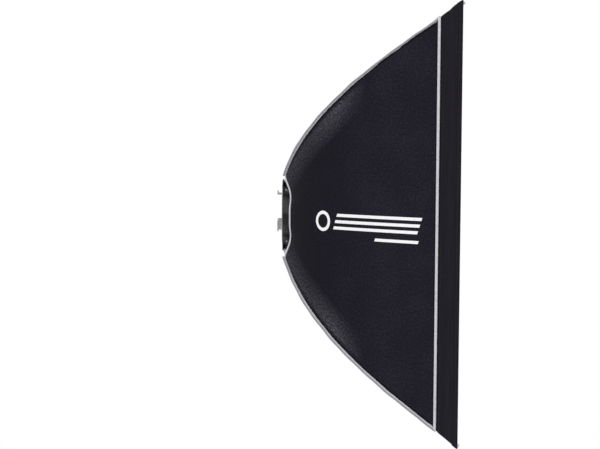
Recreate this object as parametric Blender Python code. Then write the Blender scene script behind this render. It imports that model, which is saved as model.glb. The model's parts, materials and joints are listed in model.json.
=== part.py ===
"""Studio softbox on a folding speedring. Metres. +X is the light axis, out through the front. +Z is up.
The origin is the centre of the bayonet insert's rear mating face."""
import math

import bmesh
import bpy
import numpy as np
from mathutils import Matrix, Vector

GAP = 0.0003                 # clearance between touching pieces

# bayonet insert, along X
BORE_RADIUS = 0.052
TUBE_RADIUS = 0.058
TUBE_END = 0.0228
FLANGE_RADIUS = 0.078
FLANGE_THICK = 0.004
LUG_COUNT = 3
LUG_SWEEP = math.radians(28)
LUG_REACH = 0.012
LUG_FOOT_RADIUS = 0.0625
LUG_FOOT_THICK = 0.0035
WASHER_THICK = 0.001
RETAINER_RADIUS = 0.076
RETAINER_THICK = 0.004

# retainer screws
SCREW_CIRCLE = 0.055
SCREW_SHANK = 0.0015
SCREW_HEAD = 0.0026
SCREW_HEAD_THICK = 0.0018
SCREW_SOCKET = 0.0013
SCREW_TIP = 0.0150
SCREW_COUNT = 4

# speedring
RING_RADIUS = 0.090
RING_BACK = 0.0015
RING_FRONT = 0.0215
RECESS_DEPTH = 0.005
EAR_INSIDE = 0.0080
EAR_OUTSIDE = 0.0110
EAR_ROUND = 0.0095
WALL_TOP = 0.118
WALL_THICK = 0.0025
BRACKET_FOOT = 0.0865
SLOT_FLOOR = 0.0870
KNOB_SHANK = 0.0030
KNOB_SHANK_START = 0.0598
KNOB_HEAD_START = 0.0935
KNOB_HEAD_END = 0.108
KNOB_HEAD_RADIUS = 0.010

# folding arm, measured along the arm from its hinge
HINGE_X = 0.013
HINGE_R = 0.106
HINGE_PIN = 0.0020
HINGE_HOLE = 0.0022
ARM_EYE = 0.0076
ARM_HALF_WIDTH = 0.0076
ARM_TUBE = 0.0065
ARM_LENGTH = 0.070
ARM_BORE = 0.0039
ARM_BORE_START = 0.016
CATCH_S = 0.026
CATCH_N = -0.0125
CATCH_PIN = 0.0014
CATCH_HOLE = 0.0016
CATCH_LUG_INSIDE = 0.0052
CATCH_HALF_WIDTH = 0.0048

# bent rod and fabric seam
ROD_ANGLE = math.radians(75.24)
ROD_BEND = math.radians(32.04)
ROD_SPAN = 0.724
ROD_START = 0.0175
ROD_END = 0.698
ROD_RADIUS = 0.0035
CAP_START = 0.686
CAP_RADIUS = 0.0052
CAP_BORE = 0.0038
POCKET_START = 0.674
POCKET_END = 0.706
POCKET_INSIDE = 0.0056
POCKET_OUTSIDE = 0.0074
SEAM_START = 0.041
SEAM_OFFSET_REAR = 0.016
SEAM_OFFSET_FRONT = 0.014
PIPING_RADIUS = 0.0034
PIPING_LIFT = 0.0030
PIPING_END = 0.6625          # where the corner piping meets the front seam

# fabric
REAR_OPENING = 0.1505
FABRIC_THICK = 0.0015
FABRIC_TRIM = 0.0062
DIFFUSER_LINE = 0.356
LIP_START = 0.359
LIP_END = 0.4015
LIP_THICK = 0.002
LIP_TRIM = 0.0036
FRONT_DIFFUSER_X = 0.3555
FRONT_DIFFUSER_INSET = 0.005
FRONT_DIFFUSER_CORNER = 0.046
INNER_DIFFUSER_X = 0.205
INNER_DIFFUSER_HALF = 0.315
INNER_DIFFUSER_CORNER = 0.030
STRAP_WIDTH = 0.020
STRAP_THICK = 0.0015
STRAP_SHORT = 0.0085          # from the rod's centre, in the plane of the inner diffuser

# fineness
RING_STEPS = 64
SMALL_STEPS = 16
ROD_STEPS = 22
PANEL_STEPS = 10
CORNERS = (1, 2, 3, 4)
SIDES = ("top", "left", "bottom", "right")


def start():
    """Empty the scene and make the two collections."""
    for old in list(bpy.data.objects):
        bpy.data.objects.remove(old, do_unlink=True)
    made = []
    for name in ("softbox", "cutters"):
        group = bpy.data.collections.new(name)
        bpy.context.scene.collection.children.link(group)
        made.append(group)
    made[1].hide_render = True
    return made


PARTS, CUTTERS = start()


def material(name, colour, metallic, roughness):
    """One Principled material."""
    mat = bpy.data.materials.new(name)
    mat.use_nodes = True
    shader = mat.node_tree.nodes["Principled BSDF"]
    shader.inputs["Base Color"].default_value = (*colour, 1.0)
    shader.inputs["Metallic"].default_value = metallic
    shader.inputs["Roughness"].default_value = roughness
    mat.diffuse_color = (*colour, 1.0)
    return mat


LOOKS = {
    "cast": ((0.030, 0.030, 0.033), 0.0, 0.5),
    "bare": ((0.72, 0.72, 0.74), 1.0, 0.32),
    "steel": ((0.60, 0.60, 0.62), 1.0, 0.25),
    "nylon": ((0.80, 0.79, 0.75), 0.0, 0.5),
    "plastic": ((0.022, 0.022, 0.024), 0.0, 0.4),
    "cloth": ((0.019, 0.018, 0.026), 0.0, 0.85),
    "lip": ((0.020, 0.019, 0.022), 0.0, 0.9),
    "trim": ((0.66, 0.65, 0.71), 0.0, 0.7),
    "white": ((0.88, 0.88, 0.88), 0.0, 0.8),
}


def to_object(name, body, look, pivot=(0, 0, 0)):
    """Turn a bmesh into a part whose origin is at the pivot."""
    bmesh.ops.remove_doubles(body, verts=body.verts, dist=1e-6)
    bmesh.ops.recalc_face_normals(body, faces=body.faces)
    bmesh.ops.translate(body, verts=body.verts, vec=-Vector(pivot))
    mesh = bpy.data.meshes.new(name)
    body.to_mesh(mesh)
    body.free()
    part = bpy.data.objects.new(name, mesh)
    part.location = pivot
    PARTS.objects.link(part)
    part.data.materials.append(material(name, *LOOKS[look]))
    return part


def smooth(part, degrees=35):
    """Round faces smooth, hard edges kept."""
    part.data.shade_smooth()
    limit = math.radians(degrees)
    body = bmesh.new()
    body.from_mesh(part.data)
    for edge in body.edges:
        edge.smooth = edge.calc_face_angle(0.0) < limit
    body.to_mesh(part.data)
    body.free()
    return part


def about_x(profile, steps=RING_STEPS, sweep=math.tau):
    """Spin a closed (x, radius) outline about the X axis."""
    body = bmesh.new()
    verts = [body.verts.new((x, 0.0, radius)) for x, radius in profile]
    face = body.faces.new(verts)
    whole = sweep > math.tau - 1e-6
    geometry = list(face.verts) + list(face.edges) + ([] if whole else [face])
    bmesh.ops.spin(body, geom=geometry, cent=(0, 0, 0), axis=(1, 0, 0), angle=sweep,
                   steps=steps, use_merge=whole, use_duplicate=False)
    if whole:
        bmesh.ops.delete(body, geom=[face], context="FACES_ONLY")
    bmesh.ops.remove_doubles(body, verts=body.verts, dist=1e-6)
    loose = [edge for edge in body.edges if not edge.link_faces]
    bmesh.ops.delete(body, geom=loose, context="EDGES")
    bmesh.ops.recalc_face_normals(body, faces=body.faces)
    return body


def along(profile, begin, direction, steps=SMALL_STEPS):
    """Spin a closed (length, radius) outline about a line that starts at begin."""
    body = about_x(profile, steps)
    turn = Vector((1, 0, 0)).rotation_difference(Vector(direction).normalized())
    bmesh.ops.transform(body, matrix=Matrix.Translation(begin) @ turn.to_matrix().to_4x4(), verts=body.verts)
    return body


def solid_rod(radius, low, high):
    """Outline of a plain cylinder, closed on its axis."""
    return [(low, 0.0), (low, radius), (high, radius), (high, 0.0)]


def extruded(outline, low, high):
    """Extrude an outline in the XZ plane along Y from low to high."""
    body = bmesh.new()
    face = body.faces.new([body.verts.new((x, low, z)) for x, z in outline])
    pushed = bmesh.ops.extrude_face_region(body, geom=[face])["geom"]
    moved = [item for item in pushed if isinstance(item, bmesh.types.BMVert)]
    bmesh.ops.translate(body, verts=moved, vec=(0, high - low, 0))
    bmesh.ops.recalc_face_normals(body, faces=body.faces)
    return body


def joined(part, bodies, operation):
    """Union with, or cut by, each bmesh in turn."""
    for number, body in enumerate(bodies, len(part.modifiers) + 1):
        mesh = bpy.data.meshes.new(f"{part.name}_{operation.lower()}_{number}")
        body.to_mesh(mesh)
        body.free()
        tool = bpy.data.objects.new(mesh.name, mesh)
        tool.location = part.location
        tool.data.transform(Matrix.Translation(-part.location))
        tool.display_type = "WIRE"
        tool.hide_render = True
        CUTTERS.objects.link(tool)
        step = part.modifiers.new(mesh.name, "BOOLEAN")
        step.operation = operation
        step.solver = "EXACT"
        step.object = tool
    return part


def baked(part):
    """Apply the part's modifiers and weld the result."""
    bpy.context.view_layer.update()
    seen = part.evaluated_get(bpy.context.evaluated_depsgraph_get())
    mesh = bpy.data.meshes.new_from_object(seen)
    part.modifiers.clear()
    part.data = mesh
    body = bmesh.new()
    body.from_mesh(mesh)
    bmesh.ops.remove_doubles(body, verts=body.verts, dist=1e-6)
    bmesh.ops.dissolve_degenerate(body, edges=body.edges, dist=1e-6)
    body.to_mesh(mesh)
    body.free()
    return part


def turned(body, angle):
    """Turn a bmesh about the X axis."""
    bmesh.ops.rotate(body, verts=body.verts, cent=(0, 0, 0), matrix=Matrix.Rotation(angle, 3, "X"))
    return body


def corner_angle(corner):
    """Angle about X that takes +Z to the given corner."""
    return math.radians(90 * corner - 135)


# ---------------------------------------------------------------- rod and seam curves

def rod_point(s):
    """Rod centre at length s from the hinge, with its slope: (x, r, angle)."""
    count = 60
    x = HINGE_X
    r = HINGE_R
    step = s / count
    for index in range(count):
        angle = rod_slope((index + 0.5) * step)
        x += math.cos(angle) * step
        r += math.sin(angle) * step
    return x, r, rod_slope(s)


def rod_slope(s):
    """Angle between the rod and the X axis: straight in its socket, then bent like a cantilever."""
    free = min(max((s - ARM_LENGTH) / (ROD_SPAN - ARM_LENGTH), 0.0), 1.0)
    return ROD_ANGLE - ROD_BEND * (2 * free - free * free)


def seam_point(s, lift=0.0):
    """Corner seam of the fabric, outside the rod at length s: (x, r)."""
    x, r, angle = rod_point(s)
    share = (s - SEAM_START) / (ROD_SPAN - SEAM_START)
    offset = SEAM_OFFSET_REAR + (SEAM_OFFSET_FRONT - SEAM_OFFSET_REAR) * share + lift
    return x - math.sin(angle) * offset, r + math.cos(angle) * offset


SEAM_S = np.linspace(SEAM_START, ROD_SPAN, 90)
SEAM = np.array([seam_point(s) for s in SEAM_S])


def half_width(x):
    """Half the side of the fabric square at x."""
    return float(np.interp(x, SEAM[:, 0], SEAM[:, 1])) / math.sqrt(2)


def seam_x(radius):
    """Where the seam has the given radius."""
    return float(np.interp(radius, SEAM[:, 1], SEAM[:, 0]))


# ---------------------------------------------------------------- mount group

def screw_places():
    """Angles of the retainer screws."""
    return [math.tau * (index + 0.5) / SCREW_COUNT for index in range(SCREW_COUNT)]


def on_circle(x, radius, angle):
    """Point at an angle about X, zero at +Z."""
    return Vector((x, -radius * math.sin(angle), radius * math.cos(angle)))


def make_insert():
    profile = [(0.0, BORE_RADIUS), (0.0, FLANGE_RADIUS - 0.0008), (0.0008, FLANGE_RADIUS),
               (FLANGE_THICK, FLANGE_RADIUS), (FLANGE_THICK, TUBE_RADIUS), (TUBE_END, TUBE_RADIUS),
               (TUBE_END, BORE_RADIUS)]
    insert = to_object("bayonet_insert", about_x(profile), "bare")
    foot = -LUG_REACH + LUG_FOOT_THICK
    lug = [(0.001, BORE_RADIUS + 0.0012), (0.001, 0.0572), (foot, 0.0572), (foot, LUG_FOOT_RADIUS),
           (-LUG_REACH, LUG_FOOT_RADIUS), (-LUG_REACH, BORE_RADIUS + 0.0012)]
    lugs = []
    for index in range(LUG_COUNT):
        middle = math.tau * index / LUG_COUNT
        lugs.append(turned(about_x(lug, 5, LUG_SWEEP), middle - LUG_SWEEP / 2))
    joined(insert, lugs, "UNION")
    holes = []
    for angle in screw_places():
        hole = solid_rod(SCREW_SHANK + GAP, SCREW_TIP - 0.0005, TUBE_END + 0.002)
        holes.append(along(hole, on_circle(0, SCREW_CIRCLE, angle), (1, 0, 0), 10))
    joined(insert, holes, "DIFFERENCE")
    smooth(baked(insert))


def make_retainer():
    start_x = TUBE_END + GAP
    washer_start = RING_FRONT + GAP
    inner = TUBE_RADIUS + GAP
    washer = [(washer_start, inner), (washer_start, RETAINER_RADIUS),
              (washer_start + WASHER_THICK, RETAINER_RADIUS), (washer_start + WASHER_THICK, inner)]
    smooth(to_object("slip_washer", about_x(washer), "nylon"))
    end_x = start_x + RETAINER_THICK
    edge = 0.0008
    profile = [(start_x, BORE_RADIUS), (start_x, RETAINER_RADIUS), (end_x - edge, RETAINER_RADIUS),
               (end_x, RETAINER_RADIUS - edge), (end_x, BORE_RADIUS)]
    retainer = to_object("front_retainer", about_x(profile), "cast")
    holes = []
    for angle in screw_places():
        hole = solid_rod(SCREW_SHANK + GAP, start_x - 0.001, end_x + 0.001)
        holes.append(along(hole, on_circle(0, SCREW_CIRCLE, angle), (1, 0, 0), 10))
    joined(retainer, holes, "DIFFERENCE")
    smooth(baked(retainer))
    for number, angle in enumerate(screw_places(), 1):
        make_screw(number, angle, end_x + GAP)


def make_screw(number, angle, seat):
    """Socket-head screw, head on the front face."""
    top = seat + SCREW_HEAD_THICK
    floor = top - 0.0011
    profile = [(SCREW_TIP, 0.0), (SCREW_TIP, SCREW_SHANK), (seat, SCREW_SHANK), (seat, SCREW_HEAD),
               (top - 0.0004, SCREW_HEAD), (top, SCREW_HEAD - 0.0004), (top, SCREW_SOCKET),
               (floor, SCREW_SOCKET), (floor, 0.0)]
    body = along(profile, on_circle(0, SCREW_CIRCLE, angle), (1, 0, 0), 12)
    smooth(to_object(f"retainer_screw_{number}", body, "steel"))


# ---------------------------------------------------------------- rotating ring

def bracket_outline():
    """Side outline of one clevis bracket: back wall, then round over the hinge."""
    back = RING_BACK + 0.0003
    front = RING_FRONT - 0.0004
    points = [(back, BRACKET_FOOT), (back, WALL_TOP), (back + WALL_THICK, WALL_TOP)]
    for index in range(7):
        angle = math.radians(135 - 22.5 * index)
        points.append((HINGE_X + EAR_ROUND * math.cos(angle), HINGE_R + EAR_ROUND * math.sin(angle)))
    points.append((front, BRACKET_FOOT))
    return points


def bracket_slot():
    """Side outline of the slot between the ears."""
    wall = RING_BACK + 0.0003 + WALL_THICK
    return [(wall, SLOT_FLOOR), (wall, WALL_TOP + 0.01), (0.04, WALL_TOP + 0.01), (0.04, SLOT_FLOOR)]


def make_speedring():
    inner = TUBE_RADIUS + GAP
    step = FLANGE_RADIUS + 0.0008
    back = FLANGE_THICK + GAP
    profile = [(back, inner), (back, step), (RING_BACK, step), (RING_BACK, RING_RADIUS - 0.001),
               (RING_BACK + 0.001, RING_RADIUS), (RING_FRONT - 0.001, RING_RADIUS),
               (RING_FRONT, RING_RADIUS - 0.001), (RING_FRONT, 0.0850), (RING_FRONT - RECESS_DEPTH, 0.0840),
               (RING_FRONT - RECESS_DEPTH, 0.0795), (RING_FRONT, 0.0785), (RING_FRONT, inner)]
    ring = to_object("speedring", about_x(profile), "cast")
    solids = []
    slots = []
    for corner in CORNERS:
        angle = corner_angle(corner)
        solids.append(turned(extruded(bracket_outline(), -EAR_OUTSIDE, EAR_OUTSIDE), angle))
        slots.append(turned(extruded(bracket_slot(), -EAR_INSIDE, EAR_INSIDE), angle))
    joined(ring, solids, "UNION")
    joined(ring, slots, "DIFFERENCE")
    cuts = []
    for corner in CORNERS:
        drill = along(solid_rod(HINGE_HOLE, -0.02, 0.02), (HINGE_X, 0, HINGE_R), (0, 1, 0))
        cuts.append(turned(drill, corner_angle(corner)))
    knob_x = (RING_BACK + RING_FRONT) / 2 + 0.001
    cuts.append(along(solid_rod(KNOB_SHANK + GAP, 0.056, 0.095), (knob_x, 0, 0), (0, 1, 0)))
    joined(ring, cuts, "DIFFERENCE")
    smooth(baked(ring))
    make_knob(knob_x)


def make_knob(x):
    """Fluted lock knob on a radial screw, on the +Y side of the ring."""
    body = bmesh.new()
    count = 24
    levels = ((KNOB_HEAD_START, 0.92), (KNOB_HEAD_START + 0.001, 1.0), (KNOB_HEAD_END - 0.001, 1.0),
              (KNOB_HEAD_END, 0.90))
    rings = []
    for height, share in levels:
        loop = []
        for index in range(count):
            radius = KNOB_HEAD_RADIUS * share * (0.90 if index % 4 == 0 else 1.0)
            angle = math.tau * index / count
            loop.append(body.verts.new((x + radius * math.cos(angle), height, radius * math.sin(angle))))
        rings.append(loop)
    for low, high in zip(rings, rings[1:]):
        for index in range(count):
            after = (index + 1) % count
            body.faces.new((low[index], low[after], high[after], high[index]))
    body.faces.new(rings[0])
    body.faces.new(rings[-1])
    bmesh.ops.recalc_face_normals(body, faces=body.faces)
    knob = to_object("lock_knob", body, "plastic", (x, KNOB_HEAD_START, 0))
    shank = along(solid_rod(KNOB_SHANK, KNOB_SHANK_START, KNOB_HEAD_START + 0.003), (x, 0, 0), (0, 1, 0))
    joined(knob, [shank], "UNION")
    smooth(baked(knob))


# ---------------------------------------------------------------- one corner

def arm_frame():
    """Arm direction and its outer-side normal, in the XZ plane of the first corner."""
    forward = Vector((math.cos(ROD_ANGLE), 0, math.sin(ROD_ANGLE)))
    normal = Vector((-math.sin(ROD_ANGLE), 0, math.cos(ROD_ANGLE)))
    return forward, normal


def arm_place(s, n):
    """XZ coordinates of a point at s along the arm and n off its axis."""
    forward, normal = arm_frame()
    point = Vector((HINGE_X, 0, HINGE_R)) + forward * s + normal * n
    return point.x, point.z


def arm_lug():
    """Side outline of one small catch-pin lug."""
    points = [arm_place(CATCH_S - 0.006, -0.003), arm_place(CATCH_S + 0.006, -0.003)]
    for index in range(6):
        angle = math.radians(-36 * index)
        points.append(arm_place(CATCH_S + 0.0038 * math.cos(angle), CATCH_N + 0.0038 * math.sin(angle)))
    return points


def make_arm(corner, angle, pivot):
    forward = arm_frame()[0]
    hinge = Vector((HINGE_X, 0, HINGE_R))
    eye = turned(along(solid_rod(ARM_EYE, -ARM_HALF_WIDTH, ARM_HALF_WIDTH), hinge, (0, 1, 0), 24), angle)
    arm = to_object(f"rod_arm_{corner}", eye, "cast", pivot)
    tube = [(0.001, 0.0), (0.001, ARM_TUBE), (ARM_LENGTH - 0.006, ARM_TUBE), (ARM_LENGTH - 0.006, 0.0074),
            (ARM_LENGTH - 0.0005, 0.0074), (ARM_LENGTH, 0.0069), (ARM_LENGTH, 0.0)]
    solids = [turned(along(tube, hinge, forward), angle)]
    for low in (CATCH_LUG_INSIDE, -ARM_HALF_WIDTH):
        high = low + ARM_HALF_WIDTH - CATCH_LUG_INSIDE
        solids.append(turned(extruded(arm_lug(), low, high), angle))
    joined(arm, solids, "UNION")
    x, z = arm_place(CATCH_S, CATCH_N)
    cuts = [along(solid_rod(HINGE_HOLE, -0.02, 0.02), hinge, (0, 1, 0)),
            along(solid_rod(CATCH_HOLE, -0.02, 0.02), (x, 0, z), (0, 1, 0), 12),
            along(solid_rod(ARM_BORE, ARM_BORE_START, ARM_LENGTH + 0.002), hinge, forward)]
    joined(arm, [turned(cut, angle) for cut in cuts], "DIFFERENCE")
    smooth(baked(arm))


def pin_outline(radius, reach, head, head_thick):
    """Pin with a head at one end and a smaller rivet at the other."""
    return [(-reach - head_thick, 0.0), (-reach - head_thick, head * 0.8), (-reach - head_thick * 0.6, head),
            (-reach, head), (-reach, radius), (reach, radius), (reach, head * 0.85),
            (reach + head_thick * 0.7, head * 0.7), (reach + head_thick * 0.7, 0.0)]


def make_pins(corner, angle):
    hinge = along(pin_outline(HINGE_PIN, EAR_OUTSIDE + GAP, 0.0036, 0.0016), (HINGE_X, 0, HINGE_R), (0, 1, 0))
    smooth(to_object(f"hinge_pin_{corner}", turned(hinge, angle), "steel"))
    x, z = arm_place(CATCH_S, CATCH_N)
    small = along(pin_outline(CATCH_PIN, ARM_HALF_WIDTH + GAP, 0.0022, 0.0009), (x, 0, z), (0, 1, 0), 12)
    smooth(to_object(f"catch_pin_{corner}", turned(small, angle), "steel"))


def make_catch(corner, angle):
    """Release lever on the arm's inner side: toe beside the bracket, thumb pad out along the arm."""
    side = [(-0.0030, -0.0104), (0.0060, -0.0098), (0.0160, -0.0094), (0.0360, -0.0096), (0.0440, -0.0124),
            (0.0520, -0.0142), (0.0560, -0.0160), (0.0550, -0.0178), (0.0500, -0.0168), (0.0420, -0.0150),
            (0.0320, -0.0156), (0.0260, -0.0165), (0.0200, -0.0156), (0.0100, -0.0136), (-0.0030, -0.0142),
            (-0.0042, -0.0123)]
    outline = [arm_place(s, n) for s, n in side]
    body = turned(extruded(outline, -CATCH_HALF_WIDTH, CATCH_HALF_WIDTH), angle)
    x, z = arm_place(CATCH_S, CATCH_N)
    pivot = Matrix.Rotation(angle, 3, "X") @ Vector((x, 0, z))
    catch = to_object(f"catch_{corner}", body, "plastic", pivot)
    drill = along(solid_rod(CATCH_HOLE, -0.02, 0.02), (x, 0, z), (0, 1, 0), 12)
    joined(catch, [turned(drill, angle)], "DIFFERENCE")
    smooth(baked(catch), 30)


def swept(points, radius, fineness):
    """Round bar along a list of points, as a bmesh."""
    curve = bpy.data.curves.new("path", "CURVE")
    curve.dimensions = "3D"
    curve.bevel_depth = radius
    curve.bevel_resolution = fineness
    curve.use_fill_caps = True
    line = curve.splines.new("POLY")
    line.points.add(len(points) - 1)
    for place, point in zip(line.points, points):
        place.co = (*point, 1.0)
    carrier = bpy.data.objects.new("path", curve)
    CUTTERS.objects.link(carrier)
    bpy.context.view_layer.update()
    seen = carrier.evaluated_get(bpy.context.evaluated_depsgraph_get())
    mesh = bpy.data.meshes.new_from_object(seen)
    body = bmesh.new()
    body.from_mesh(mesh)
    bpy.data.objects.remove(carrier, do_unlink=True)
    bmesh.ops.remove_doubles(body, verts=body.verts, dist=1e-6)
    return body


def make_rod(corner, angle, pivot):
    stations = [ROD_START, ARM_LENGTH] + list(np.linspace(ARM_LENGTH, ROD_END, ROD_STEPS)[1:])
    points = []
    for s in stations:
        x, r, _ = rod_point(s)
        points.append((x, 0, r))
    smooth(to_object(f"rod_{corner}", turned(swept(points, ROD_RADIUS, 3), angle), "steel", pivot))
    tip_x, tip_r, slope = rod_point(CAP_START)
    forward = (math.cos(slope), 0, math.sin(slope))
    depth = ROD_END - CAP_START + 0.0006
    end = depth + 0.0034
    cap = [(0.0, CAP_BORE), (0.0, CAP_RADIUS), (end - 0.003, CAP_RADIUS), (end - 0.001, CAP_RADIUS * 0.8),
           (end, CAP_RADIUS * 0.4), (end, 0.0), (depth, 0.0), (depth, CAP_BORE)]
    body = turned(along(cap, (tip_x, 0, tip_r), forward), angle)
    smooth(to_object(f"rod_cap_{corner}", body, "plastic", pivot))


def make_pocket(corner, angle, pivot):
    """Webbing pocket around the capped rod end, closed in front."""
    x, r, slope = rod_point(POCKET_START)
    forward = (math.cos(slope), 0, math.sin(slope))
    end = POCKET_END - POCKET_START
    blind = end - 0.002
    profile = [(0.0, POCKET_INSIDE), (0.0, POCKET_OUTSIDE), (end - 0.001, POCKET_OUTSIDE),
               (end, POCKET_OUTSIDE - 0.001), (end, 0.0), (blind, 0.0), (blind, POCKET_INSIDE)]
    body = turned(along(profile, (x, 0, r), forward, 12), angle)
    smooth(to_object(f"corner_pocket_{corner}", body, "lip", pivot))


def make_piping(corner, angle, pivot):
    points = []
    for s in np.linspace(SEAM_START, PIPING_END, ROD_STEPS):
        x, r = seam_point(s, PIPING_LIFT)
        points.append((x, 0, r))
    smooth(to_object(f"corner_piping_{corner}", turned(swept(points, PIPING_RADIUS, 2), angle), "trim", pivot))


def make_corner(corner):
    angle = corner_angle(corner)
    pivot = Matrix.Rotation(angle, 3, "X") @ Vector((HINGE_X, 0, HINGE_R))
    make_arm(corner, angle, pivot)
    make_pins(corner, angle)
    make_catch(corner, angle)
    make_rod(corner, angle, pivot)
    make_pocket(corner, angle, pivot)
    make_piping(corner, angle, pivot)


# ---------------------------------------------------------------- fabric

def sheet_between(first, last, across, lengthwise, thickness, trim):
    """Closed sheet on the +Z side. first(t) and last(t) give the x at its two ends for t from -1 to 1."""
    body = bmesh.new()
    rows = []
    for u in np.linspace(0, 1, lengthwise + 1):
        row = []
        for t in np.linspace(-1, 1, across + 1):
            x = first(t) + (last(t) - first(t)) * u
            half = half_width(x)
            row.append(body.verts.new((x, t * (half - trim), half)))
        rows.append(row)
    for low, high in zip(rows, rows[1:]):
        for index in range(across):
            body.faces.new((low[index], low[index + 1], high[index + 1], high[index]))
    bmesh.ops.recalc_face_normals(body, faces=body.faces)
    if sum((face.normal.z for face in body.faces)) < 0:
        bmesh.ops.reverse_faces(body, faces=body.faces)
    bmesh.ops.solidify(body, geom=body.faces, thickness=thickness)
    return body


def rear_edge(t):
    """x of the round rear opening at t across the panel."""
    x = seam_x(REAR_OPENING)
    for _ in range(12):
        half = half_width(x)
        y = t * (half - FABRIC_TRIM)
        wanted = math.sqrt(max(REAR_OPENING ** 2 - y * y, 1e-9))
        x += (wanted - half) * 0.35
    return max(x, SEAM[0, 0])


def make_panels():
    for index, side in enumerate(SIDES):
        angle = math.radians(90 * index)
        body = sheet_between(rear_edge, lambda t: DIFFUSER_LINE, 8, PANEL_STEPS, FABRIC_THICK, FABRIC_TRIM)
        smooth(to_object(f"side_panel_{side}", turned(body, angle), "cloth"), 50)
        body = sheet_between(lambda t: LIP_START, lambda t: LIP_END, 2, 2, LIP_THICK, LIP_TRIM)
        smooth(to_object(f"lip_panel_{side}", turned(body, angle), "lip"), 50)


def square_sheet(half, cut, x, thickness):
    """Flat square with cut corners, facing X."""
    outline = []
    for index in range(4):
        angle = math.radians(90 * index)
        for y, z in ((half, half - cut), (half - cut, half)):
            outline.append((y * math.cos(angle) - z * math.sin(angle), y * math.sin(angle) + z * math.cos(angle)))
    body = bmesh.new()
    face = body.faces.new([body.verts.new((x, y, z)) for y, z in outline])
    pushed = bmesh.ops.extrude_face_region(body, geom=[face])["geom"]
    moved = [item for item in pushed if isinstance(item, bmesh.types.BMVert)]
    bmesh.ops.translate(body, verts=moved, vec=(-thickness, 0, 0))
    bmesh.ops.recalc_face_normals(body, faces=body.faces)
    return body


def make_diffusers():
    half = half_width(FRONT_DIFFUSER_X) - FRONT_DIFFUSER_INSET
    front = square_sheet(half, FRONT_DIFFUSER_CORNER, FRONT_DIFFUSER_X, FABRIC_THICK)
    to_object("front_diffuser", front, "white")
    inner = square_sheet(INNER_DIFFUSER_HALF, INNER_DIFFUSER_CORNER, INNER_DIFFUSER_X, FABRIC_THICK)
    to_object("inner_diffuser", inner, "white")
    begin = (2 * INNER_DIFFUSER_HALF - INNER_DIFFUSER_CORNER) / math.sqrt(2) + GAP
    end = rod_radius_at(INNER_DIFFUSER_X) - STRAP_SHORT
    back = INNER_DIFFUSER_X - STRAP_THICK
    outline = [(back, begin), (back, end), (INNER_DIFFUSER_X, end), (INNER_DIFFUSER_X, begin)]
    for corner in CORNERS:
        strap = turned(extruded(outline, -STRAP_WIDTH / 2, STRAP_WIDTH / 2), corner_angle(corner))
        to_object(f"inner_strap_{corner}", strap, "lip")


def rod_radius_at(x):
    """Distance of the rod from the axis at x."""
    stations = [rod_point(s) for s in np.linspace(0.1, ROD_END, 60)]
    return float(np.interp(x, [p[0] for p in stations], [p[1] for p in stations]))


make_insert()
make_retainer()
make_speedring()
for number in CORNERS:
    make_corner(number)
make_panels()
make_diffusers()
bpy.context.view_layer.update()
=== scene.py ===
"""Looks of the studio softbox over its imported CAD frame. Metres. +X out through the front, +Z up."""
import json
import math

import bmesh
import bpy
import numpy as np
from mathutils import Matrix, Vector


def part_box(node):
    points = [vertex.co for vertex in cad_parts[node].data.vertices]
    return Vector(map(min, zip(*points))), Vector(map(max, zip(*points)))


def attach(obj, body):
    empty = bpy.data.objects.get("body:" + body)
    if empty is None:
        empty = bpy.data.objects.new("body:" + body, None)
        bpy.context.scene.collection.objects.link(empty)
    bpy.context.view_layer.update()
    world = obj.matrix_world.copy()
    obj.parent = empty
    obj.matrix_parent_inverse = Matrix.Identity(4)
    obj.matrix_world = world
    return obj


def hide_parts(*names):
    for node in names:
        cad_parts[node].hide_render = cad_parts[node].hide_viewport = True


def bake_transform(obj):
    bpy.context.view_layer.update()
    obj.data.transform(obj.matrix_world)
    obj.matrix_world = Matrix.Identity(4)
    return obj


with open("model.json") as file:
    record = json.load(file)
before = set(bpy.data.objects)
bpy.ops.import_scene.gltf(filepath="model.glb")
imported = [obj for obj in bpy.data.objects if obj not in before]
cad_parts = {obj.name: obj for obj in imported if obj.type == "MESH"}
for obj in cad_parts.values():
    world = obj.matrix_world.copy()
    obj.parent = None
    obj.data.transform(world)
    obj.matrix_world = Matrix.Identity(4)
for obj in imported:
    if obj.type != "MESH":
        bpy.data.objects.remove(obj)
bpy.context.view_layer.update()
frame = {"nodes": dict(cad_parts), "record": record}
JOINTS = {joint["name"]: joint for joint in frame["record"]["behaviour"]["joints"]}

# rod and seam curve, as in the CAD
HINGE = JOINTS["arm_fold_1"]["pos_m"]
HINGE_X = HINGE[0]
HINGE_R = math.hypot(HINGE[1], HINGE[2])
ARM_LENGTH = 0.070
ROD_ANGLE = math.radians(75.24)
ROD_BEND = math.radians(32.04)
ROD_SPAN = 0.724
SEAM_START = 0.041
SEAM_OFFSET_REAR = 0.016
SEAM_OFFSET_FRONT = 0.014
REAR_ARC = 0.0130            # how far the middle of the rear edge lies in front of its ends
DIFFUSER_LINE = 0.3565
LIP_END = 0.4035
LIP_FLARE = 0.0045
PIPING_END = 0.6625
RIB_PIPING_SINK = {1: 0.0048, 2: 0.0048, 3: 0.0016, 4: 0.0016}    # depth of its front end in the seam
SIDES = ("top", "left", "bottom", "right")
CORNERS = (1, 2, 3, 4)
X_AXIS, Y_AXIS, Z_AXIS = np.eye(3)

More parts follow.
